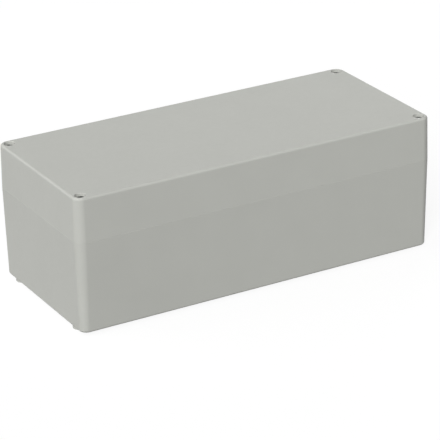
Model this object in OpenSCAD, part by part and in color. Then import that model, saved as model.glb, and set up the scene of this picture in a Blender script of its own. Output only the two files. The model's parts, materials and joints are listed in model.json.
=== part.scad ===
// Deep plastic enclosure: a base on four feet, a lift-off lid with a cord seal, and four corner screws.
// Millimetres, +Z up. The origin is the middle of the footprint, level with the underside of the feet.
// Left and right are -X and +X, front and back are -Y and +Y.

/* [Body] */
// Length of the box where lid and base meet
body_l = 320; // [240:1:420]
// Width of the box where lid and base meet
body_w = 139.5; // [120:0.5:220]
// Height of the base above its feet
base_h = 76; // [50:0.5:100]
// Height of the lid
lid_h = 36.3; // [28:0.1:60]
// Radius of the upright corners where lid and base meet
corner_r = 8; // [6:0.1:11]
// Draft of the base's outer walls, in degrees
base_draft = 1.23; // [0.5:0.01:1.6]
// Draft of the lid's outer walls, in degrees
lid_draft = 0.87; // [0.5:0.01:1.6]
// Radius of the base's lower outer edges
bottom_edge_r = 2; // [1:0.1:2.6]
// Radius of the lid's upper outer edges
top_edge_r = 2; // [1:0.1:2.6]

/* [Walls] */
// Thickness of the base's floor
floor_t = 3.2; // [2.8:0.1:5]
// Thickness of the base's wall at its rim
base_wall = 4.6; // [4.2:0.1:6]
// Thickness of the lid's top
lid_top_t = 3.2; // [2.8:0.1:5]

/* [Seal] */
// Distance from the outer face to the middle of the seal
seal_inset = 2.9; // [2.7:0.1:3.4]
// Bend radius of the seal's middle line
seal_bend_r = 4.4; // [3.8:0.1:5]
// Width of the lid's seal groove
groove_w = 3.1; // [2.6:0.1:3.4]
// Depth of the lid's seal groove
groove_depth = 5; // [4:0.1:7]
// Thickness of the lip between the groove and the inside of the lid
inner_lip = 0.9; // [0.8:0.1:1.6]
// Width of the base's tongue that presses on the seal
tongue_w = 1.6; // [1.2:0.1:2]
// Height of the base's tongue
tongue_h = 1; // [0.6:0.1:3]
// Gap between the seal and each side of its groove
gasket_gap = 0.25; // [0.1:0.05:0.5]

/* [Lid screws] */
// Distance of each lid screw from both outer faces
screw_inset = 7.8; // [7.4:0.1:9.5]
// Diameter of the boss around each lid screw
boss_d = 13.6; // [12.4:0.1:14.4]
// Thread diameter of the lid screws
thread_d = 4; // [3:0.1:4.4]
// Length of each screw's thread in the base
thread_grip = 13.5; // [8:0.5:16]
// Diameter of the screw heads
head_d = 7.8; // [6:0.1:8.2]
// Height of the screw heads
head_h = 3; // [2.4:0.1:3.4]
// Depth of the screw heads below the top of the lid
head_sink = 1.8; // [0.2:0.1:3]
// Gap around each screw head in its recess
head_gap = 0.5; // [0.2:0.05:0.7]
// Chamfer around the top of each screw head
head_chamfer = 0.6; // [0.3:0.1:1]
// Span of the cross recess in each screw head
drive_span = 4.4; // [3:0.1:5]
// Width of each arm of the cross recess
drive_w = 1.4; // [0.6:0.1:1.6]
// Depth of the cross recess
drive_depth = 2.2; // [1:0.1:2.3]
// Turn of the cross recess about the screw, in degrees
drive_turn = 45; // [0:1:89]
// Thickness of the lid's collar under each screw head
collar_t = 4; // [3:0.5:8]
// Bore of the lid's boss below the collar
lid_bore_d = 5.7; // [5.4:0.1:6.4]
// Gap around the thread in the collar and below the insert
thread_gap = 0.25; // [0.15:0.05:0.5]

/* [Threaded inserts] */
// Outer diameter of the inserts
insert_d = 6; // [5.4:0.1:7]
// Length of the inserts
insert_l = 8; // [6:0.5:9]
// Depth of the inserts below the base's rim
insert_sink = 0.3; // [0.1:0.1:1]
// Running gap between the screw thread and the insert
insert_gap = 0.1; // [0.05:0.01:0.2]
// Press of the inserts in the base's bosses
insert_press = 0.04; // [0.01:0.01:0.1]
// Width of the grip groove around each insert
insert_groove_w = 1.6; // [1:0.1:2.4]
// Depth of the grip groove around each insert
insert_groove_depth = 0.4; // [0.2:0.1:0.5]

/* [Mounting wells] */
// Width of a well, the room for the head of a mounting screw
well_w = 9; // [8:0.1:11]
// Length of a well beyond the boss
well_l = 10.3; // [9.5:0.1:14]
// Wall between a well of the base and the short outer face
well_wall = 3.5; // [3:0.1:4.5]
// Wall between a pocket of the lid and the short outer face
pocket_wall = 2; // [1.8:0.1:3.5]
// Lip between a well and the seal groove
well_lip = 1.1; // [0.9:0.1:2]
// Diameter of the mounting holes
mount_hole_d = 4.8; // [4:0.1:6]
// Diameter of the feet under the wells
foot_d = 11.5; // [9:0.1:12.4]
// Height of the feet
foot_h = 2; // [1:0.1:4]

/* [Board posts] */
// Distance of each post from the short outer face
post_x = 32; // [26:0.5:60]
// Distance of each post from the long outer face
post_y = 17; // [12:0.5:40]
// Diameter of the posts
post_d = 8; // [6:0.1:10]
// Height of the posts above the floor
post_h = 5; // [3:0.5:12]
// Diameter of the pilot hole in each post
post_hole_d = 3; // [2:0.1:4]
// Thickness of plastic left under each pilot hole
post_hole_floor = 2; // [1:0.1:2.5]

/* [Hidden] */
$fn = 48;

// Facets around each upright corner and bend
corner_fn = 32;
// Steps along each rounded outer edge
edge_steps = 6;
// Overshoot of cuts past the face they open
cut = 1;
// Depth by which a moulded rib or post is rooted in its wall
root = 0.5;

// Heights of the seam and of the top of the lid
seam_z = foot_h + base_h;
top_z = seam_z + lid_h;
floor_z = foot_h + floor_t;

// Screw, well and mounting hole places, as distances from the middle
screw_x = body_l / 2 - screw_inset;
screw_y = body_w / 2 - screw_inset;
boss_edge = screw_inset + boss_d / 2;
mount_x = body_l / 2 - well_wall - well_w / 2;
mount_y = body_w / 2 - boss_edge - well_w / 2;

// Corner steps of the seal, which leave the wells and screws outside it
seal_wall = groove_w / 2 + well_lip;
notch_x = well_wall + well_w + seal_wall;
notch_y = boss_edge + well_l + seal_wall;

// Screw seat under the head, and tip of the screw
seat_z = top_z - head_sink - head_h;
tip_z = seam_z - thread_grip;
tip_chamfer = thread_d / 8;
// Free depth of the base's boss below the screw tip
tip_room = 2;

// Colours of the plastic, the seal, the screws and the inserts
plastic = [0.725, 0.73, 0.71];
seal_grey = [0.74, 0.71, 0.67];
steel = [0.53, 0.53, 0.525];
brass = [0.78, 0.62, 0.3];

// Points of a quarter round of radius r from the side (0 degrees) to the flat (90 degrees)
function quarter(r) = [for (i = [0:edge_steps]) r * [cos(90 * i / edge_steps), sin(90 * i / edge_steps)]];

// Half section through an upright corner: full radius at height 0, drafted inwards over the height h,
// with the far edge rounded by edge_r
function corner_section(h, draft, edge_r) =
    let (inner_r = corner_r - h * tan(draft) - edge_r)
    concat(
        [[0, 0], [corner_r, 0]],
        [for (p = quarter(edge_r)) [inner_r + p[0], h - edge_r + p[1]]],
        [[0, h]]
    );

// Drafted box with rounded corners and one rounded rim, its widest section at height 0
module drafted_box(h, draft, edge_r) {
    hull()
        for (sx = [-1, 1], sy = [-1, 1])
            translate([sx * (body_l / 2 - corner_r), sy * (body_w / 2 - corner_r), 0])
                rotate_extrude($fn = corner_fn) polygon(corner_section(h, draft, edge_r));
}

// Area inside the seal's middle line, grown by d
module seal_area(d) {
    offset(delta = d)
        offset(r = seal_bend_r, $fn = corner_fn)
            offset(r = -2 * seal_bend_r, $fn = corner_fn)
                offset(r = seal_bend_r, $fn = corner_fn)
                    difference() {
                        square([body_l - 2 * seal_inset, body_w - 2 * seal_inset], center = true);
                        for (sx = [-1, 1], sy = [-1, 1])
                            translate([sx * body_l / 2, sy * body_w / 2])
                                square([2 * notch_x, 2 * notch_y], center = true);
                    }
}

// Band of width w along the seal's middle line
module seal_band(w) {
    difference() {
        seal_area(w / 2);
        seal_area(-w / 2);
    }
}

// Outline of the well in the back right corner, with a wall towards the short face
module well_outline(wall) {
    difference() {
        translate([body_l / 2 - notch_x, body_w / 2 - notch_y])
            square([notch_x - wall, notch_y - screw_inset - boss_d / 4]);
        seal_area(seal_wall);
        translate([screw_x, screw_y]) circle(d = boss_d);
    }
}

// Repeats what is drawn in the back right corner in all four corners
module in_corners() {
    for (mx = [0, 1], my = [0, 1]) mirror([mx, 0, 0]) mirror([0, my, 0]) children();
}

// Moulded base with feet, tongue and board posts
module base() {
    hole_top = floor_z + post_h;
    color(plastic)
        difference() {
            union() {
                difference() {
                    translate([0, 0, seam_z]) mirror([0, 0, 1]) drafted_box(base_h, base_draft, bottom_edge_r);
                    translate([0, 0, floor_z])
                        linear_extrude(base_h + cut) seal_area(seal_inset - base_wall);
                    in_corners()
                        translate([0, 0, floor_z]) linear_extrude(base_h + cut) well_outline(well_wall);
                }
                translate([0, 0, seam_z - root]) linear_extrude(tongue_h + root) seal_band(tongue_w);
                in_corners() {
                    translate([mount_x, mount_y, 0]) cylinder(d = foot_d, h = foot_h + bottom_edge_r);
                    translate([body_l / 2 - post_x, body_w / 2 - post_y, floor_z - root])
                        cylinder(d = post_d, h = post_h + root);
                }
            }
            in_corners() {
                translate([mount_x, mount_y, -cut]) cylinder(d = mount_hole_d, h = floor_z + 2 * cut);
                translate([screw_x, screw_y, seam_z - insert_sink - insert_l])
                    cylinder(d = insert_d - 2 * insert_press, h = insert_l + insert_sink + cut);
                translate([screw_x, screw_y, tip_z - tip_room])
                    cylinder(d = thread_d + 2 * thread_gap, h = thread_grip + tip_room);
                translate([body_l / 2 - post_x, body_w / 2 - post_y, foot_h + post_hole_floor])
                    cylinder(d = post_hole_d, h = hole_top - foot_h - post_hole_floor + cut);
            }
        }
}

// Moulded lid with the seal groove, screw recesses and corner pockets
module lid() {
    color(plastic)
        difference() {
            translate([0, 0, seam_z]) drafted_box(lid_h, lid_draft, top_edge_r);
            translate([0, 0, seam_z - cut])
                linear_extrude(lid_h - lid_top_t + cut) seal_area(-groove_w / 2 - inner_lip);
            translate([0, 0, seam_z - cut]) linear_extrude(groove_depth + cut) seal_band(groove_w);
            in_corners() {
                translate([0, 0, seam_z - cut])
                    linear_extrude(lid_h - lid_top_t + cut) well_outline(pocket_wall);
                translate([screw_x, screw_y, seat_z])
                    cylinder(d = head_d + 2 * head_gap, h = head_h + head_sink + cut);
                translate([screw_x, screw_y, seam_z - cut])
                    cylinder(d = thread_d + 2 * thread_gap, h = top_z - seam_z + cut);
                translate([screw_x, screw_y, seam_z - cut])
                    cylinder(d = lid_bore_d, h = seat_z - collar_t - seam_z + cut);
            }
        }
}

// Endless seal between the floor of the lid's groove and the base's tongue
module lid_gasket() {
    color(seal_grey)
        translate([0, 0, seam_z + tongue_h])
            linear_extrude(groove_depth - tongue_h) seal_band(groove_w - 2 * gasket_gap);
}

// Four brass inserts in the base's bosses, each with a grip groove
module threaded_inserts() {
    outer_r = insert_d / 2;
    groove_r = outer_r - insert_groove_depth;
    bore_r = thread_d / 2 + insert_gap;
    low = (insert_l - insert_groove_w) / 2;
    high = (insert_l + insert_groove_w) / 2;
    color(brass)
        in_corners()
            translate([screw_x, screw_y, seam_z - insert_sink - insert_l])
                rotate_extrude()
                    polygon([
                        [bore_r, 0], [outer_r, 0], [outer_r, low], [groove_r, low],
                        [groove_r, high], [outer_r, high], [outer_r, insert_l], [bore_r, insert_l]
                    ]);
}

// One lid screw with a chamfered head and a cross recess; sx and sy choose its corner
module lid_screw(sx, sy) {
    head_top = seat_z + head_h;
    color(steel)
        translate([sx * screw_x, sy * screw_y, 0])
            difference() {
                rotate_extrude()
                    polygon([
                        [0, tip_z], [thread_d / 2 - tip_chamfer, tip_z], [thread_d / 2, tip_z + tip_chamfer],
                        [thread_d / 2, seat_z], [head_d / 2, seat_z], [head_d / 2, head_top - head_chamfer],
                        [head_d / 2 - head_chamfer, head_top], [0, head_top]
                    ]);
                for (turn = [drive_turn, drive_turn + 90])
                    translate([0, 0, head_top - drive_depth + (drive_depth + cut) / 2])
                        rotate([0, 0, turn]) cube([drive_span, drive_w, drive_depth + cut], center = true);
            }
}

base();
lid();
lid_gasket();
threaded_inserts();
lid_screw(-1, -1);  // lid_screw_front_left
lid_screw(1, -1);  // lid_screw_front_right
lid_screw(-1, 1);  // lid_screw_back_left
lid_screw(1, 1);  // lid_screw_back_right
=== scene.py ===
"""Looks of a deep grey plastic enclosure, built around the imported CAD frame.

The base, the lid, the seal, the threaded inserts and the lid screws are rebuilt as smooth
moulded and turned pieces in the places of their CAD nodes. A plain white studio lights them.
Sizes of the pieces are in millimetres. Finished meshes, reliefs and the studio are in metres.
"""

import json
import logging
import math
from collections.abc import Callable
from dataclasses import dataclass, replace
from enum import Enum

import bmesh
import bpy
from mathutils import Matrix, Vector


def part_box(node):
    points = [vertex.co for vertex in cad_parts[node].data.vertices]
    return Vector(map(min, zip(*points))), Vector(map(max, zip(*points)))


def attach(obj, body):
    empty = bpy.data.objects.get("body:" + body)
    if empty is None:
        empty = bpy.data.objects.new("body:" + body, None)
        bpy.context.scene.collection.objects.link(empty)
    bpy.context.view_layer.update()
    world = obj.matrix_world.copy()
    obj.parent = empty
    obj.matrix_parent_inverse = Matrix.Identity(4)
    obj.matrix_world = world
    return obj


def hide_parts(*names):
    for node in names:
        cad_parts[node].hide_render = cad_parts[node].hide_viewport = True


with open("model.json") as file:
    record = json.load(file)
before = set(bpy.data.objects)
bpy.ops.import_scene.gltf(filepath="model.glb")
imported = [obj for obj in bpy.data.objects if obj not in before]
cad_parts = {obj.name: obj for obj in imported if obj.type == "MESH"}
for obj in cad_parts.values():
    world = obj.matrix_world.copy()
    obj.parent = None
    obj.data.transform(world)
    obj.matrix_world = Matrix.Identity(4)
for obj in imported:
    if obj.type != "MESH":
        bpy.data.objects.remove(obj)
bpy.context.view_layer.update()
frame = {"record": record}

LOG = logging.getLogger("enclosure")
MM = 0.001
OVERSHOOT = 1.0
SAME_SPOT = 0.01
# Painted shade: the base's plastic is a touch darker than the lid's, adding to the tone step that the two
# drafts shade at the seam.
BASE_PAINTED_SHADE = 0.988
CORNERS = ("front_left", "front_right", "back_left", "back_right")

Outline = list[Vector]
Ring = list[Vector]
Level = tuple[float, float]
Span = tuple[float, float]
Colour = tuple[float, float, float]
Direction = tuple[float, float, float]


class Start(Enum):
    """The direction in which a quarter round sets off."""

    WALL = "along the wall"
    FLAT = "along the flat"


class Combine(Enum):
    """The ways in which one solid changes another."""

    CUT = "DIFFERENCE"
    FUSE = "UNION"


def quarter(start: Level, end: Level, first: Start, steps: int) -> list[Level]:
    """Levels along a quarter round.

    Args:
        start: Height and offset at which the round begins.
        end: Height and offset at which it ends.
        first: Whether it sets off along the wall or along the flat.
        steps: Number of straight steps.

    Returns:
        Heights and offsets from start to end, both included.
    """
    levels = []
    for i in range(steps + 1):
        angle = math.pi / 2 * i / steps
        early, late = math.sin(angle), 1 - math.cos(angle)
        up, out = (early, late) if first is Start.WALL else (late, early)
        levels.append((start[0] + (end[0] - start[0]) * up, start[1] + (end[1] - start[1]) * out))
    return levels


@dataclass(frozen=True)
class Rounding:
    """Quarter round where a wall meets a level face.

    Attributes:
        radius: Radius of the round.
        steps: Straight steps that it is made of.
    """

    radius: float
    steps: int = 5

    def close_above(self, z: float, offset: float) -> list[Level]:
        """Levels of a wall that rounds inwards to the face above it."""
        return quarter((z - self.radius, offset), (z, offset - self.radius), Start.WALL, self.steps)

    def close_below(self, z: float, offset: float) -> list[Level]:
        """Levels of a wall that rounds inwards to the face below it."""
        return quarter((z, offset - self.radius), (z + self.radius, offset), Start.FLAT, self.steps)

    def open_above(self, z: float, offset: float, reach: float = OVERSHOOT) -> list[Level]:
        """Levels of a wall that rounds outwards to the face above it and runs on past it."""
        wide = offset + self.radius
        return [*quarter((z - self.radius, offset), (z, wide), Start.WALL, self.steps), (z + reach, wide)]

    def open_below(self, z: float, offset: float, reach: float = OVERSHOOT) -> list[Level]:
        """Levels of a wall that rounds outwards to the face below it and runs on past it."""
        wide = offset + self.radius
        return [(z - reach, wide), *quarter((z, wide), (z + self.radius, offset), Start.FLAT, self.steps)]


def arc(centre: Vector, radius: float, start: float, end: float, steps: int) -> Outline:
    """Points along an arc, from a first to a last angle in radians."""
    angles = [start + (end - start) * i / steps for i in range(steps + 1)]
    return [centre + radius * Vector((math.cos(a), math.sin(a))) for a in angles]


def round_corners(corners: list[tuple[float, float]], radius: float, steps: int) -> Outline:
    """Rounds a closed outline whose sides all meet at right angles.

    Args:
        corners: Corner points, anticlockwise.
        radius: Radius of every corner.
        steps: Straight steps in every corner.

    Returns:
        Points of the rounded outline, anticlockwise.
    """
    points = [Vector(c) for c in corners]
    rounded = []
    for i, corner in enumerate(points):
        into = (corner - points[i - 1]).normalized()
        out = (points[(i + 1) % len(points)] - corner).normalized()
        centre = corner - into * radius + out * radius
        for k in range(steps + 1):
            angle = math.pi / 2 * k / steps
            rounded.append(centre + radius * (into * math.sin(angle) - out * math.cos(angle)))
    return rounded


def offset_outline(outline: Outline, distance: float) -> Outline:
    """Moves every side of a closed anticlockwise outline outwards, with mitred corners.

    Args:
        outline: Points of the outline.
        distance: Distance outwards, or inwards if it is negative.

    Returns:
        The moved points, in the same order.
    """
    moved = []
    for i, point in enumerate(outline):
        into = (point - outline[i - 1]).normalized()
        out = (outline[(i + 1) % len(outline)] - point).normalized()
        normals = Vector((into.y, -into.x)), Vector((out.y, -out.x))
        mitre = (normals[0] + normals[1]) / (1 + normals[0].dot(normals[1]))
        moved.append(point + mitre * distance)
    return moved


def both_sides(side: list[Level]) -> list[Level]:
    """Levels up one side of a line, followed by their mirror image down the other."""
    return side + [(z, -offset) for z, offset in reversed(side)]


def rings_along(outline: Outline, levels: list[Level]) -> list[Ring]:
    """Stacks an anticlockwise outline at several heights, each with its own outward offset."""
    return [[p.to_3d() + Vector((0, 0, z)) for p in offset_outline(outline, d)] for z, d in levels]


def turned(levels: list[Level], place: Vector = Vector((0, 0)), segments: int = 48) -> list[Ring]:
    """Rings of a turned shape.

    Args:
        levels: Height and radius of each ring.
        place: Position of the axis.
        segments: Straight steps around the axis.

    Returns:
        One ring of points for each level.
    """
    turn = 2 * math.pi / segments
    circle = [Vector((math.cos(turn * i), math.sin(turn * i))) for i in range(segments)]
    return [[(place + p * r).to_3d() + Vector((0, 0, z)) for p in circle] for z, r in levels]


class Solid:
    """Closed shells in millimetres, which other solids can be cut from or fused to."""

    def __init__(self) -> None:
        """Starts with no shells."""
        self.bm = bmesh.new()

    def loft(self, rings: list[Ring], closed: bool = False) -> "Solid":
        """Adds a shell through rings that have the same number of points.

        Args:
            rings: Rings in order.
            closed: Whether the last ring joins the first, instead of both being capped.

        Returns:
            This solid.
        """
        rows = [[self.bm.verts.new(p) for p in ring] for ring in rings]
        count = len(rows[0])
        made = []
        for low, high in zip(rows, rows[1:] + rows[:1] if closed else rows[1:]):
            for i in range(count):
                k = (i + 1) % count
                made.append(self.bm.faces.new((low[i], low[k], high[k], high[i])))
        if not closed:
            made += [self.bm.faces.new(rows[0][::-1]), self.bm.faces.new(rows[-1])]
        bmesh.ops.recalc_face_normals(self.bm, faces=made)
        return self

    def _stand_in(self) -> bpy.types.Object:
        """Copies the shells to a temporary object.

        Returns:
            The object.
        """
        mesh = bpy.data.meshes.new("stand_in")
        self.bm.to_mesh(mesh)
        made = bpy.data.objects.new("stand_in", mesh)
        bpy.context.scene.collection.objects.link(made)
        return made

    def combine(self, tool: "Solid", how: Combine) -> "Solid":
        """Cuts another solid from this one, or fuses it to this one.

        Args:
            tool: The other solid, which is used up.
            how: Whether it is cut or fused.

        Returns:
            This solid.
        """
        body, other = self._stand_in(), tool._stand_in()
        step = body.modifiers.new("combine", "BOOLEAN")
        step.solver, step.operation, step.object = "MANIFOLD", how.value, other
        graph = bpy.context.evaluated_depsgraph_get()
        result = bpy.data.meshes.new_from_object(body.evaluated_get(graph))
        self.bm.clear()
        self.bm.from_mesh(result)
        tool.bm.free()
        for used in (body.data, other.data, result):
            bpy.data.meshes.remove(used)
        return self

    def to_piece(
        self, name: str, place: Vector = Vector((0, 0, 0)), sharp_deg: float = 35
    ) -> bpy.types.Object:
        """Turns the shells into a smooth piece of the scene.

        Args:
            name: Name of the piece.
            place: Its own origin in millimetres, which the shells are measured from.
            sharp_deg: Smallest angle between two faces that shows as a sharp edge.

        Returns:
            The piece, in metres.
        """
        bmesh.ops.transform(self.bm, matrix=Matrix.Scale(MM, 4), verts=self.bm.verts)
        mesh = bpy.data.meshes.new(name)
        self.bm.to_mesh(mesh)
        self.bm.free()
        mesh.shade_smooth()
        mesh.set_sharp_from_angle(angle=math.radians(sharp_deg))
        piece = bpy.data.objects.new(name, mesh)
        piece.location = place * MM
        bpy.context.scene.collection.objects.link(piece)
        weighted = piece.modifiers.new("even_faces", "WEIGHTED_NORMAL")
        weighted.keep_sharp = True
        return piece


def shade(colour: Colour, factor: float) -> Colour:
    """A lighter or darker shade of a colour."""
    return tuple(min(1.0, c * factor) for c in colour)


@dataclass(frozen=True)
class Pattern:
    """Uneven pattern over a surface.

    Attributes:
        per_m: Features per metre.
        detail: Number of finer octaves.
        roughness: Strength of each finer octave.
    """

    per_m: float
    detail: float
    roughness: float = 0.5


class ShaderDraft:
    """A node material in the making.

    Attributes:
        PATTERN_BAND: Values that nearly all of a pattern lies between.
    """

    PATTERN_BAND: Span = (0.3, 0.7)

    def __init__(self, name: str) -> None:
        """Starts a material with a Principled shader and object coordinates.

        Args:
            name: Name of the material.
        """
        self.material = bpy.data.materials.new(name)
        self.material.use_nodes = True
        self.tree = self.material.node_tree
        self.shader = self.tree.nodes["Principled BSDF"]
        self.place = self.tree.nodes.new("ShaderNodeTexCoord").outputs["Object"]

    def noise(self, pattern: Pattern) -> bpy.types.NodeSocket:
        """Adds an uneven pattern.

        Args:
            pattern: Its scale and its finer octaves.

        Returns:
            The pattern's value.
        """
        node = self.tree.nodes.new("ShaderNodeTexNoise")
        node.inputs["Scale"].default_value = pattern.per_m
        node.inputs["Detail"].default_value = pattern.detail
        node.inputs["Roughness"].default_value = pattern.roughness
        self.tree.links.new(self.place, node.inputs["Vector"])
        return node.outputs["Fac"]

    def gloss_between(self, value: bpy.types.NodeSocket, span: Span) -> None:
        """Varies the roughness of the surface.

        Args:
            value: The pattern that it follows.
            span: Roughness at the pattern's lower and upper end.
        """
        node = self.tree.nodes.new("ShaderNodeMapRange")
        ends = (*self.PATTERN_BAND, *span)
        for socket, end in zip(("From Min", "From Max", "To Min", "To Max"), ends):
            node.inputs[socket].default_value = end
        self.tree.links.new(value, node.inputs["Value"])
        self.tree.links.new(node.outputs["Result"], self.shader.inputs["Roughness"])

    def colour_around(self, value: bpy.types.NodeSocket, colour: Colour, tone: float) -> None:
        """Colours the surface in lighter and darker shades of one colour.

        Args:
            value: The pattern that mixes them.
            colour: The colour in the middle.
            tone: Share by which the shades differ from it.
        """
        ramp = self.tree.nodes.new("ShaderNodeValToRGB")
        for stop, position, side in zip(ramp.color_ramp.elements, self.PATTERN_BAND, (-1, 1)):
            stop.position = position
            stop.color = (*shade(colour, 1 + side * tone), 1)
        self.tree.links.new(value, ramp.inputs["Fac"])
        self.tree.links.new(ramp.outputs["Color"], self.shader.inputs["Base Color"])

    def bump(self, *layers: tuple[bpy.types.NodeSocket, float]) -> None:
        """Adds relief to the surface.

        Args:
            layers: Patterns and their heights in metres, coarse ones first.
        """
        below = None
        for value, height in layers:
            node = self.tree.nodes.new("ShaderNodeBump")
            node.inputs["Distance"].default_value = height
            self.tree.links.new(value, node.inputs["Height"])
            if below is not None:
                self.tree.links.new(below, node.inputs["Normal"])
            below = node.outputs["Normal"]
        if below is not None:
            self.tree.links.new(below, self.shader.inputs["Normal"])


@dataclass(frozen=True)
class MouldedPlastic:
    """Smooth satin moulding with a very fine spark texture."""

    colour: Colour = (0.464, 0.47, 0.439)
    tone: float = 0.012
    clouds: Pattern = Pattern(30.0, 3.0)
    specular: float = 0.35
    gloss: Span = (0.44, 0.52)
    gloss_patches: Pattern = Pattern(220.0, 4.0)
    sinks: Pattern = Pattern(14.0, 1.0)
    sink_height: float = 0.00006
    grain: Pattern = Pattern(2600.0, 2.0, 0.6)
    grain_height: float = 0.000006

    def material(self, name: str) -> bpy.types.Material:
        """Builds the material.

        Args:
            name: Name of the material.

        Returns:
            The material.
        """
        draft = ShaderDraft(name)
        draft.shader.inputs["Specular IOR Level"].default_value = self.specular
        draft.colour_around(draft.noise(self.clouds), self.colour, self.tone)
        draft.gloss_between(draft.noise(self.gloss_patches), self.gloss)
        draft.bump((draft.noise(self.sinks), self.sink_height), (draft.noise(self.grain), self.grain_height))
        return draft.material


@dataclass(frozen=True)
class SealRubber:
    """Matt foamed rubber cord."""

    colour: Colour = (0.47, 0.425, 0.38)
    tone: float = 0.06
    gloss: Span = (0.66, 0.8)
    gloss_patches: Pattern = Pattern(900.0, 2.0)
    pores: Pattern = Pattern(4200.0, 3.0, 0.65)
    pore_height: float = 0.00004

    def material(self, name: str) -> bpy.types.Material:
        """Builds the material.

        Args:
            name: Name of the material.

        Returns:
            The material.
        """
        draft = ShaderDraft(name)
        pores = draft.noise(self.pores)
        draft.colour_around(pores, self.colour, self.tone)
        draft.gloss_between(draft.noise(self.gloss_patches), self.gloss)
        draft.bump((pores, self.pore_height))
        return draft.material


@dataclass(frozen=True)
class TurnedMetal:
    """Plain metal with fine marks and slightly uneven gloss."""

    colour: Colour
    tone: float = 0.06
    gloss: Span = (0.26, 0.4)
    clouds: Pattern = Pattern(1100.0, 3.0)
    marks: Pattern = Pattern(5200.0, 2.0)
    mark_height: float = 0.000004

    def material(self, name: str) -> bpy.types.Material:
        """Builds the material.

        Args:
            name: Name of the material.

        Returns:
            The material.
        """
        draft = ShaderDraft(name)
        draft.shader.inputs["Metallic"].default_value = 1.0
        clouds = draft.noise(self.clouds)
        draft.colour_around(clouds, self.colour, self.tone)
        draft.gloss_between(clouds, self.gloss)
        draft.bump((draft.noise(self.marks), self.mark_height))
        return draft.material


SCREW_STEEL = TurnedMetal(colour=(0.18, 0.18, 0.176), gloss=(0.34, 0.48))
INSERT_BRASS = TurnedMetal(colour=(0.66, 0.47, 0.2))


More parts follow.
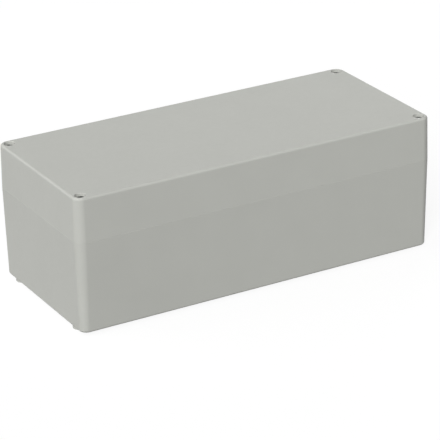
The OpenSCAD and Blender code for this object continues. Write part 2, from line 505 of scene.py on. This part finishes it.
@dataclass(frozen=True)
class Layout:
    """Places that the pieces share.

    Attributes:
        half_length: From the middle to the short outer faces.
        half_width: From the middle to the long outer faces.
        foot_z: Height of the underside of the feet.
        seam_z: Height at which base and lid meet.
        top_z: Height of the top face.
        screw_x: From the middle to the lid screws, along the box.
        screw_y: From the middle to the lid screws, across the box.
        corner_r: Radius of the upright corners at the seam.
        corner_steps: Straight steps in each corner.
        seal_inset: From the outer faces to the seal's middle line.
        seal_bend_r: Radius of that line's bends.
        seal_steps: Straight steps in each bend.
        notch_x: From the short outer faces to the line, where it steps in around a corner.
        notch_y: From the long outer faces to the line, where it steps in around a corner.
        seal_wall: From the line to the well outside it.
        boss_r: Radius of the screw boss beside the well.
        boss_end: From the screw's axis to the end of the boss's arc, across the box.
        boss_steps: Straight steps along that arc.
    """

    half_length: float
    half_width: float
    foot_z: float
    seam_z: float
    top_z: float
    screw_x: float
    screw_y: float
    corner_r: float = 8.0
    corner_steps: int = 12
    seal_inset: float = 2.9
    seal_bend_r: float = 4.4
    seal_steps: int = 8
    notch_x: float = 15.15
    notch_y: float = 27.55
    seal_wall: float = 2.65
    boss_r: float = 6.8
    boss_end: float = 3.4
    boss_steps: int = 24

    @classmethod
    def from_frame(cls) -> "Layout":
        """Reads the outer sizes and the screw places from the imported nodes.

        Returns:
            The layout.
        """
        lid_low, lid_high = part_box("lid")
        base_low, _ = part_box("base")
        screw_low, screw_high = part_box("lid_screw_back_right")
        screw = (screw_low + screw_high) / 2 / MM
        return cls(
            half_length=lid_high.x / MM,
            half_width=lid_high.y / MM,
            foot_z=base_low.z / MM,
            seam_z=lid_low.z / MM,
            top_z=lid_high.z / MM,
            screw_x=screw.x,
            screw_y=screw.y,
        )

    @staticmethod
    def pattern_spot(name: str) -> Vector:
        """Back right hole of one of the record's bolt patterns."""
        sizes = next(m["dims"] for m in frame["record"]["mounts"] if m["name"] == name)
        return Vector((sizes["spacing_x_mm"] / 2, sizes["spacing_y_mm"] / 2))

    @property
    def screw(self) -> Vector:
        """Lid screw in the back right corner."""
        return Vector((self.screw_x, self.screw_y))

    @property
    def mount(self) -> Vector:
        """Mounting hole in the back right corner."""
        return self.pattern_spot("mounting_holes")

    @property
    def post(self) -> Vector:
        """Board post in the back right corner."""
        return self.pattern_spot("board_posts")

    def shell_outline(self) -> Outline:
        """Outer outline of lid and base where they meet."""
        x, y = self.half_length, self.half_width
        return round_corners([(x, -y), (x, y), (-x, y), (-x, -y)], self.corner_r, self.corner_steps)

    def seal_outline(self) -> Outline:
        """Middle line of the seal, which steps in around the corners.

        Returns:
            Points of the line, anticlockwise.
        """
        x, y = self.half_length - self.seal_inset, self.half_width - self.seal_inset
        notch_x, notch_y = self.half_length - self.notch_x, self.half_width - self.notch_y
        step = [(x, notch_y), (notch_x, notch_y), (notch_x, y)]
        corners = []
        for sx, sy in ((1, 1), (-1, 1), (-1, -1), (1, -1)):
            mirrored = [(sx * a, sy * b) for a, b in step]
            corners += mirrored if sx * sy > 0 else mirrored[::-1]
        return round_corners(corners, self.seal_bend_r, self.seal_steps)

    def well_outline(self, wall: float) -> Outline:
        """Outline of the well in the back right corner.

        Args:
            wall: Wall between the well and the short outer face.

        Returns:
            Points of the outline, anticlockwise.
        """
        outer = self.half_length - wall
        inner = self.half_length - self.notch_x + self.seal_wall
        near = self.half_width - self.notch_y + self.seal_wall
        bend, reach = self.seal_bend_r - self.seal_wall, self.seal_bend_r + self.seal_wall
        turn = Vector((self.half_length - self.seal_inset - self.seal_bend_r, near - reach))
        boss = self.screw
        boss_low = -math.acos((inner - boss.x) / self.boss_r)
        boss_high = -math.asin(self.boss_end / self.boss_r)
        if boss.x + self.boss_r * math.cos(boss_high) > outer:
            boss_high = -math.acos((outer - boss.x) / self.boss_r)
        points = arc(boss, self.boss_r, boss_high, boss_low, self.boss_steps)
        points += arc(Vector((inner + bend, near + bend)), bend, math.pi, 1.5 * math.pi, self.seal_steps)
        points += arc(turn, reach, math.pi / 2, math.acos((outer - turn.x) / reach), self.seal_steps)
        if points[0].x < outer - SAME_SPOT:
            points.append(Vector((outer, points[0].y)))
        return points

    def in_corners(self, outline: Outline) -> list[Outline]:
        """Mirrors an outline of the back right corner into all four corners.

        Args:
            outline: Points of the outline, anticlockwise.

        Returns:
            The four outlines, all anticlockwise.
        """
        made = []
        for sx, sy in self.signs():
            mirrored = [Vector((sx * p.x, sy * p.y)) for p in outline]
            made.append(mirrored if sx * sy > 0 else mirrored[::-1])
        return made

    @staticmethod
    def signs() -> list[tuple[int, int]]:
        """Signs of X and Y in the four corners."""
        return [(sx, sy) for sx in (-1, 1) for sy in (-1, 1)]

    def places(self, point: Vector) -> list[Vector]:
        """Mirrors a point of the back right corner into all four corners."""
        return [Vector((sx * point.x, sy * point.y)) for sx, sy in self.signs()]


@dataclass
class Lid:
    """Moulded lid with its seal groove, screw recesses and corner pockets."""

    layout: Layout
    finish: MouldedPlastic
    draft_deg: float = 0.87
    edge: Rounding = Rounding(2.0, 10)
    seam_break: float = 0.1
    top_t: float = 3.2
    groove_half: float = 1.55
    groove_depth: float = 5.0
    lip: float = 0.9
    ceiling: Rounding = Rounding(1.5, 6)
    pocket_wall: float = 2.0
    pocket_ceiling: Rounding = Rounding(0.75, 6)
    rim: Rounding = Rounding(0.3, 4)
    recess_r: float = 4.4
    recess_depth: float = 4.8
    recess_rim: Rounding = Rounding(0.35)
    collar_t: float = 4.0
    hole_r: float = 2.25
    bore_r: float = 2.85

    def shell(self) -> Solid:
        """Solid outer form, drafted and rounded at the top.

        Returns:
            The solid.
        """
        at = self.layout
        lean = (at.top_z - at.seam_z) * math.tan(math.radians(self.draft_deg))
        levels = [(at.seam_z, -self.seam_break), (at.seam_z + self.seam_break, 0)]
        levels += self.edge.close_above(at.top_z, -lean)
        return Solid().loft(rings_along(at.shell_outline(), levels))

    def hollow_levels(self, wall: float, ceiling: Rounding) -> list[Level]:
        """Levels of a hollow from below the seam to its rounded ceiling."""
        top = self.layout.top_z - self.top_t
        return self.rim.open_below(self.layout.seam_z, wall) + ceiling.close_above(top, wall)

    def groove_rings(self) -> list[Ring]:
        """Rings around the seal groove, up one side and down the other.

        Returns:
            Rings that join to an endless cutter.
        """
        seam = self.layout.seam_z
        side = self.rim.open_below(seam, self.groove_half)
        side += [(seam + self.groove_depth, self.groove_half)]
        return rings_along(self.layout.seal_outline(), both_sides(side))

    def screw_levels(self) -> list[Level]:
        """Levels of a screw recess, its collar and the bore below.

        Returns:
            Height and radius of each level, upwards.
        """
        at = self.layout
        seat = at.top_z - self.recess_depth
        collar = seat - self.collar_t
        levels = self.rim.open_below(at.seam_z, self.bore_r)
        levels += [(collar, self.bore_r), (collar, self.hole_r)]
        levels += [(seat, self.hole_r), (seat, self.recess_r)]
        return levels + self.recess_rim.open_above(at.top_z, self.recess_r)

    def build(self) -> bpy.types.Object:
        """Builds the lid and dresses it.

        Returns:
            The piece.
        """
        at = self.layout
        inside = self.hollow_levels(-self.groove_half - self.lip, self.ceiling)
        hollows = Solid().loft(rings_along(at.seal_outline(), inside))
        hollows.loft(self.groove_rings(), closed=True)
        for outline in at.in_corners(at.well_outline(self.pocket_wall)):
            hollows.loft(rings_along(outline, self.hollow_levels(0, self.pocket_ceiling)))
        for place in at.places(at.screw):
            hollows.loft(turned(self.screw_levels(), place))
        piece = self.shell().combine(hollows, Combine.CUT).to_piece("lid_shell")
        piece.data.materials.append(self.finish.material("lid_plastic"))
        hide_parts("lid")
        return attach(piece, "lid")


@dataclass
class Base:
    """Moulded base with its feet, wells, seal tongue and board posts."""

    layout: Layout
    finish: MouldedPlastic
    draft_deg: float = 1.23
    edge: Rounding = Rounding(2.0, 10)
    seam_break: float = 0.1
    foot_h: float = 2.0
    foot_r: float = 5.75
    foot_edge: Rounding = Rounding(0.2)
    floor_t: float = 3.2
    wall: float = 1.7
    floor_edge: Rounding = Rounding(2.0, 6)
    well_wall: float = 3.5
    well_edge: Rounding = Rounding(1.0, 6)
    rim: Rounding = Rounding(0.3, 4)
    tongue_half: float = 0.8
    tongue_h: float = 1.0
    hole_r: float = 2.4
    post_r: float = 4.0
    post_h: float = 5.0
    post_foot: Rounding = Rounding(1.0)
    pilot_r: float = 1.5
    pilot_floor: float = 2.0
    insert_seat: float = 8.3
    insert_r: float = 2.96
    tip_depth: float = 15.5
    tip_r: float = 2.25
    root_depth: float = 0.5

    @property
    def under_z(self) -> float:
        """Height of the underside between the feet."""
        return self.layout.foot_z + self.foot_h

    @property
    def floor_z(self) -> float:
        """Height of the floor inside."""
        return self.under_z + self.floor_t

    def shell(self) -> Solid:
        """Solid outer form with its four feet.

        Returns:
            The solid.
        """
        at = self.layout
        lean = (at.seam_z - self.under_z) * math.tan(math.radians(self.draft_deg))
        levels = self.edge.close_below(self.under_z, -lean)
        levels += [(at.seam_z - self.seam_break, 0), (at.seam_z, -self.seam_break)]
        foot = self.foot_edge.close_below(at.foot_z, self.foot_r)
        foot += [(self.under_z + self.edge.radius, self.foot_r)]
        feet = Solid()
        for place in at.places(at.mount):
            feet.loft(turned(foot, place))
        return Solid().loft(rings_along(at.shell_outline(), levels)).combine(feet, Combine.FUSE)

    def hollow_levels(self, wall: float, edge: Rounding) -> list[Level]:
        """Levels of a hollow from its rounded floor to above the seam."""
        return edge.close_below(self.floor_z, wall) + self.rim.open_above(self.layout.seam_z, wall)

    def ribs(self) -> Solid:
        """Tongue that presses on the seal, and the board posts.

        Returns:
            The solids, rooted in the walls and the floor.
        """
        at = self.layout
        tongue = [(at.seam_z - self.root_depth, self.tongue_half)]
        tongue += self.rim.close_above(at.seam_z + self.tongue_h, self.tongue_half)
        made = Solid().loft(rings_along(at.seal_outline(), both_sides(tongue)), closed=True)
        post = self.post_foot.open_below(self.floor_z, self.post_r, self.root_depth)
        post += self.rim.close_above(self.floor_z + self.post_h, self.post_r)
        for place in at.places(at.post):
            made.loft(turned(post, place))
        return made

    def holes(self) -> Solid:
        """Mounting holes, insert holes and pilot holes.

        Returns:
            The cutters.
        """
        at = self.layout
        mount = self.rim.open_below(at.foot_z, self.hole_r)
        mount += self.rim.open_above(self.floor_z, self.hole_r)
        seat = at.seam_z - self.insert_seat
        insert = [(at.seam_z - self.tip_depth, self.tip_r), (seat, self.tip_r), (seat, self.insert_r)]
        insert += self.rim.open_above(at.seam_z, self.insert_r)
        pilot = [(self.under_z + self.pilot_floor, self.pilot_r)]
        pilot += self.rim.open_above(self.floor_z + self.post_h, self.pilot_r)
        made = Solid()
        for levels, spot in ((mount, at.mount), (insert, at.screw), (pilot, at.post)):
            for place in at.places(spot):
                made.loft(turned(levels, place))
        return made

    def build(self) -> bpy.types.Object:
        """Builds the base and dresses it.

        Returns:
            The piece.
        """
        at = self.layout
        inside = self.hollow_levels(-self.wall, self.floor_edge)
        hollows = Solid().loft(rings_along(at.seal_outline(), inside))
        for outline in at.in_corners(at.well_outline(self.well_wall)):
            hollows.loft(rings_along(outline, self.hollow_levels(0, self.well_edge)))
        body = self.shell().combine(hollows, Combine.CUT)
        body.combine(self.ribs(), Combine.FUSE).combine(self.holes(), Combine.CUT)
        piece = body.to_piece("base_shell")
        piece.data.materials.append(self.finish.material("base_plastic"))
        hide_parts("base")
        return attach(piece, "base")


@dataclass
class SealCord:
    """Endless cord in the lid's groove, crowned towards the tongue."""

    layout: Layout
    finish: SealRubber
    half: float = 1.3
    crown_half: float = 0.5
    crown: float = 0.35
    crown_steps: int = 6
    back_edge: Rounding = Rounding(0.3, 3)

    def build(self) -> bpy.types.Object:
        """Builds the cord and dresses it.

        Returns:
            The piece.
        """
        low, high = (corner.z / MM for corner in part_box("lid_gasket"))
        side = quarter((low, self.crown_half), (low + self.crown, self.half), Start.FLAT, self.crown_steps)
        side += self.back_edge.close_above(high, self.half)
        cord = Solid().loft(rings_along(self.layout.seal_outline(), both_sides(side)), closed=True)
        piece = cord.to_piece("seal_cord")
        piece.data.materials.append(self.finish.material("seal_rubber"))
        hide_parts("lid_gasket")
        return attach(piece, "lid")


@dataclass
class InsertSet:
    """Four knurled brass inserts with an inside thread."""

    layout: Layout
    finish: TurnedMetal
    outer_r: float = 3.0
    chamfer: float = 0.25
    bore_r: float = 2.1
    root_r: float = 2.34
    pitch: float = 0.7
    groove_half: float = 0.8
    groove_depth: float = 0.4
    teeth: int = 30
    tooth_depth: float = 0.16
    lead_in: float = 0.35

    def knurl(self, levels: list[Level], place: Vector) -> list[Ring]:
        """Rings whose outer ones carry teeth.

        Args:
            levels: Height and radius of each ring.
            place: Position of the axis.

        Returns:
            One ring of points for each level.
        """
        rings = turned(levels, place, 2 * self.teeth)
        toothed = self.outer_r - self.tooth_depth / 2
        for ring, (_, radius) in zip(rings, levels):
            if radius > toothed:
                for point in ring[::2]:
                    out = Vector((point.x - place.x, point.y - place.y, 0)).normalized()
                    point -= out * self.tooth_depth
        return rings

    def profile(self, low: float, high: float) -> list[Level]:
        """Section through one insert, up the outside and down the threaded bore.

        Args:
            low: Height of its lower end.
            high: Height of its upper end.

        Returns:
            Height and radius of each point.
        """
        middle = (low + high) / 2
        inner = self.outer_r - self.groove_depth
        levels = [(low, self.outer_r - self.chamfer), (low + self.chamfer, self.outer_r)]
        for side in (-1, 1):
            step = middle + side * self.groove_half
            levels += [(step, self.outer_r), (step, inner)][::-side]
        levels += [(high - self.chamfer, self.outer_r), (high, self.outer_r - self.chamfer)]
        levels += [(high, self.bore_r + self.lead_in)]
        count = int((high - low - 2 * self.lead_in) / self.pitch)
        for i in range(count):
            crest = high - self.lead_in - i * self.pitch
            levels += [(crest, self.bore_r), (crest - self.pitch / 2, self.root_r)]
        levels += [(low + self.lead_in, self.bore_r), (low, self.bore_r + self.lead_in)]
        return levels

    def build(self) -> bpy.types.Object:
        """Builds the inserts and dresses them.

        Returns:
            The piece.
        """
        low, high = (corner.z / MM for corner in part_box("threaded_inserts"))
        made = Solid()
        for place in self.layout.places(self.layout.screw):
            made.loft(self.knurl(self.profile(low, high), place), closed=True)
        piece = made.to_piece("threaded_insert_set")
        piece.data.materials.append(self.finish.material("insert_brass"))
        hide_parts("threaded_inserts")
        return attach(piece, "base")


@dataclass
class LidScrew:
    """Pan head lid screw with a cross recess and a rolled thread."""

    corner: str
    steel: bpy.types.Material
    shank_r: float = 1.98
    core_r: float = 1.6
    pitch: float = 0.7
    root_flat: float = 0.14
    crest_flat: float = 0.22
    thread_l: float = 22.0
    tip_l: float = 0.5
    run_out_l: float = 0.3
    head_r: float = 3.9
    head_h: float = 3.0
    head_edge: Rounding = Rounding(1.0, 6)
    dome: float = 0.3
    dome_steps: int = 5
    drive_span: float = 4.4
    drive_w: float = 1.4
    drive_depth: float = 2.2
    drive_taper: float = 0.7
    drive_flare: float = 1.1
    drive_turn_deg: float = 45.0
    drive_overshoot: float = 0.5
    segments: int = 32
    rows_per_turn: int = 12

    def thread_radius(self, phase: float) -> float:
        """Radius of the thread at a share of one turn.

        Args:
            phase: Turns from a root, with a crest half a turn on.

        Returns:
            The radius, between the core's and the shank's.
        """
        from_crest = abs(2 * (phase % 1.0) - 1)
        flank = 1 - self.root_flat - self.crest_flat
        share = (1 - self.root_flat - from_crest) / flank
        return self.core_r + (self.shank_r - self.core_r) * min(1.0, max(0.0, share))

    def thread_rings(self, low: float, high: float) -> list[Ring]:
        """Level rings of the threaded end, whose radius follows the helix.

        Args:
            low: Height at which the thread begins.
            high: Height at which it runs out.

        Returns:
            Rings from low to high.
        """
        turns = (high - low) / self.pitch
        rows = round(turns * self.rows_per_turn)
        rings = []
        for row in range(rows + 1):
            up = turns * row / rows
            z = low + up * self.pitch
            fade = min(1.0, up, turns - up)
            ring = []
            for i in range(self.segments):
                around = i / self.segments
                radius = self.core_r + fade * (self.thread_radius(up - around) - self.core_r)
                angle = 2 * math.pi * around
                ring.append(Vector((radius * math.cos(angle), radius * math.sin(angle), z)))
            rings.append(ring)
        return rings

    def body(self, tip: float, top: float) -> Solid:
        """Solid screw without its cross recess.

        Args:
            tip: Height of the tip.
            top: Height of the crown of the head.

        Returns:
            The solid.
        """
        seat, run_out, rim = top - self.head_h, tip + self.thread_l, top - self.dome
        rings = turned([(tip, self.core_r - self.tip_l)], segments=self.segments)
        rings += self.thread_rings(tip + self.tip_l, run_out)
        upper = [(run_out + self.run_out_l, self.shank_r), (seat, self.shank_r), (seat, self.head_r)]
        upper += self.head_edge.close_above(rim, self.head_r)
        dome_r = self.head_r - self.head_edge.radius
        for i in range(1, self.dome_steps):
            share = 1 - i / self.dome_steps
            upper.append((rim + self.dome * (1 - share**2), dome_r * share))
        return Solid().loft(rings + turned(upper, segments=self.segments))

    def drive(self, top: float) -> Solid:
        """Cross that is cut into the head, whose arms narrow half as much as they shorten.

        Args:
            top: Height of the crown of the head.

        Returns:
            The cutter.
        """
        ends = ((top - self.drive_depth, self.drive_taper), (top + self.drive_overshoot, self.drive_flare))
        rings = []
        for z, share in ends:
            reach, half = self.drive_span / 2 * share, self.drive_w / 2 * (1 + share) / 2
            arm = [(reach, -half), (reach, half), (half, half)]
            ring = []
            for turn in range(4):
                spin = Matrix.Rotation(math.radians(self.drive_turn_deg) + math.pi / 2 * turn, 2)
                ring += [(spin @ Vector(p)).to_3d() + Vector((0, 0, z)) for p in arm]
            rings.append(ring)
        return Solid().loft(rings)

    def build(self) -> bpy.types.Object:
        """Builds the screw and dresses it.

        Returns:
            The piece.
        """
        node = f"lid_screw_{self.corner}"
        low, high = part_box(node)
        axis = (low + high) / 2 / MM
        made = self.body(low.z / MM, high.z / MM).combine(self.drive(high.z / MM), Combine.CUT)
        piece = made.to_piece(f"screw_{self.corner}", Vector((axis.x, axis.y, 0)))
        piece.data.materials.append(self.steel)
        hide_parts(node)
        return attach(piece, f"screw_{self.corner}")


@dataclass(frozen=True)
class Lamp:
    """One broad, even light.

    Attributes:
        name: Name of the light.
        direction: Direction from the object towards it.
        angle_deg: Breadth of the light as the object sees it.
        strength: Light on a face that is square to it.
        gleams: Whether a glossy face mirrors it.
    """

    name: str
    direction: Direction
    angle_deg: float
    strength: float
    gleams: bool

    def place(self) -> None:
        """Adds the light to the scene."""
        data = bpy.data.lights.new(self.name, "SUN")
        data.angle, data.energy = math.radians(self.angle_deg), self.strength
        lamp = bpy.data.objects.new(self.name, data)
        lamp.location = Vector(self.direction)
        lamp.rotation_euler = Vector(self.direction).to_track_quat("Z", "Y").to_euler()
        lamp.visible_glossy = self.gleams
        bpy.context.scene.collection.objects.link(lamp)


@dataclass
class Studio:
    """White studio with the camera at the photograph's place."""

    azimuth_deg: float = 29.254
    elevation_deg: float = 23.558
    roll_deg: float = 1.2584
    sensor_mm: float = 36.0
    lens_mm: float = 200.09
    distance: float = 1.9699
    aim_z: float = 0.05815
    aim_right: float = 0.00213
    aim_down: float = 0.02067
    lamps: tuple[Lamp, ...] = (
        Lamp("key", (-0.531, -0.693, 0.491), angle_deg=24.0, strength=3.205, gleams=False),
        Lamp("side", (-0.661, 0.337, 0.67), angle_deg=50.0, strength=1.117, gleams=True),
        Lamp("back", (0.62, 0.78, 0.05), angle_deg=20.0, strength=2.2, gleams=False),
    )
    ambient: float = 0.15
    floor_half: float = 6.0
    floor_colour: float = 0.14
    floor_glow: float = 0.875

    def camera(self) -> None:
        """Places the camera."""
        az, el, roll = (math.radians(a) for a in (self.azimuth_deg, self.elevation_deg, self.roll_deg))
        ahead = Vector((math.sin(az) * math.cos(el), math.cos(az) * math.cos(el), -math.sin(el)))
        level = Vector((math.cos(az), -math.sin(az), 0))
        fall = ahead.cross(level)
        right = math.cos(roll) * level + math.sin(roll) * fall
        down = math.cos(roll) * fall - math.sin(roll) * level
        aim = Vector((0, 0, self.aim_z)) + self.aim_right * right + self.aim_down * down
        data = bpy.data.cameras.new("photo_camera")
        data.sensor_width, data.lens = self.sensor_mm, self.lens_mm
        camera = bpy.data.objects.new("photo_camera", data)
        turn = Matrix((right, -down, -ahead)).transposed().to_4x4()
        camera.matrix_world = Matrix.Translation(aim - self.distance * ahead) @ turn
        bpy.context.scene.collection.objects.link(camera)
        bpy.context.scene.camera = camera

    @staticmethod
    def seen_directly(tree: bpy.types.NodeTree) -> bpy.types.NodeSocket:
        """Adds the test for rays from the camera, or by way of a gloss or a clear piece.

        Args:
            tree: Node tree that gets the test.

        Returns:
            One for such rays, and nought for the rest.
        """
        path = tree.nodes.new("ShaderNodeLightPath")
        total = path.outputs["Is Camera Ray"]
        for name in ("Is Glossy Ray", "Is Transmission Ray"):
            node = tree.nodes.new("ShaderNodeMath")
            node.operation = "MAXIMUM"
            tree.links.new(total, node.inputs[0])
            tree.links.new(path.outputs[name], node.inputs[1])
            total = node.outputs["Value"]
        return total

    def world(self) -> None:
        """Sets an even light from all round, with a white background."""
        world = bpy.data.worlds.new("studio")
        bpy.context.scene.world = world
        world.use_nodes = True
        tree = world.node_tree
        background = tree.nodes["Background"]
        background.inputs["Color"].default_value = (1, 1, 1, 1)
        level = tree.nodes.new("ShaderNodeMapRange")
        level.inputs["To Min"].default_value = self.ambient
        tree.links.new(self.seen_directly(tree), level.inputs["Value"])
        tree.links.new(level.outputs["Result"], background.inputs["Strength"])

    def paper(self) -> bpy.types.Material:
        """White paper that keeps a faint shadow.

        Returns:
            The material.
        """
        material = bpy.data.materials.new("floor_paper")
        material.use_nodes = True
        tree = material.node_tree
        tree.nodes.clear()
        matt = tree.nodes.new("ShaderNodeBsdfDiffuse")
        matt.inputs["Color"].default_value = (*[self.floor_colour] * 3, 1)
        strength = tree.nodes.new("ShaderNodeMath")
        strength.operation = "MULTIPLY"
        strength.inputs[1].default_value = self.floor_glow
        tree.links.new(self.seen_directly(tree), strength.inputs[0])
        glow = tree.nodes.new("ShaderNodeEmission")
        tree.links.new(strength.outputs["Value"], glow.inputs["Strength"])
        both = tree.nodes.new("ShaderNodeAddShader")
        tree.links.new(matt.outputs["BSDF"], both.inputs[0])
        tree.links.new(glow.outputs["Emission"], both.inputs[1])
        out = tree.nodes.new("ShaderNodeOutputMaterial")
        tree.links.new(both.outputs["Shader"], out.inputs["Surface"])
        return material

    def floor(self) -> None:
        """Lays the floor."""
        half = self.floor_half
        corners = [(-half, -half, 0), (half, -half, 0), (half, half, 0), (-half, half, 0)]
        mesh = bpy.data.meshes.new("floor")
        mesh.from_pydata(corners, [], [(0, 1, 2, 3)])
        mesh.materials.append(self.paper())
        floor = bpy.data.objects.new("floor", mesh)
        bpy.context.scene.collection.objects.link(floor)

    def build(self) -> None:
        """Sets up the camera, the lights and the floor."""
        bpy.context.scene.view_settings.view_transform = "Standard"
        self.camera()
        for lamp in self.lamps:
            lamp.place()
        self.world()
        self.floor()


def main() -> None:
    """Builds the studio and every piece in order."""
    logging.basicConfig(level=logging.INFO, format="%(name)s: %(message)s")
    Studio().build()
    layout = Layout.from_frame()
    lid_plastic = MouldedPlastic()
    # Painted shade: the base gets a darker copy of the lid's plastic, for part of the tone step at the seam.
    base_plastic = replace(lid_plastic, colour=shade(lid_plastic.colour, BASE_PAINTED_SHADE))
    steel = SCREW_STEEL.material("screw_steel")
    builders: list[Callable[[], bpy.types.Object]] = [
        Base(layout, base_plastic).build,
        Lid(layout, lid_plastic).build,
        SealCord(layout, SealRubber()).build,
        InsertSet(layout, INSERT_BRASS).build,
    ]
    builders += [LidScrew(corner, steel).build for corner in CORNERS]
    for build in builders:
        piece = build()
        LOG.info("%s: %d faces", piece.name, len(piece.data.polygons))


if __name__ == "__main__":
    main()
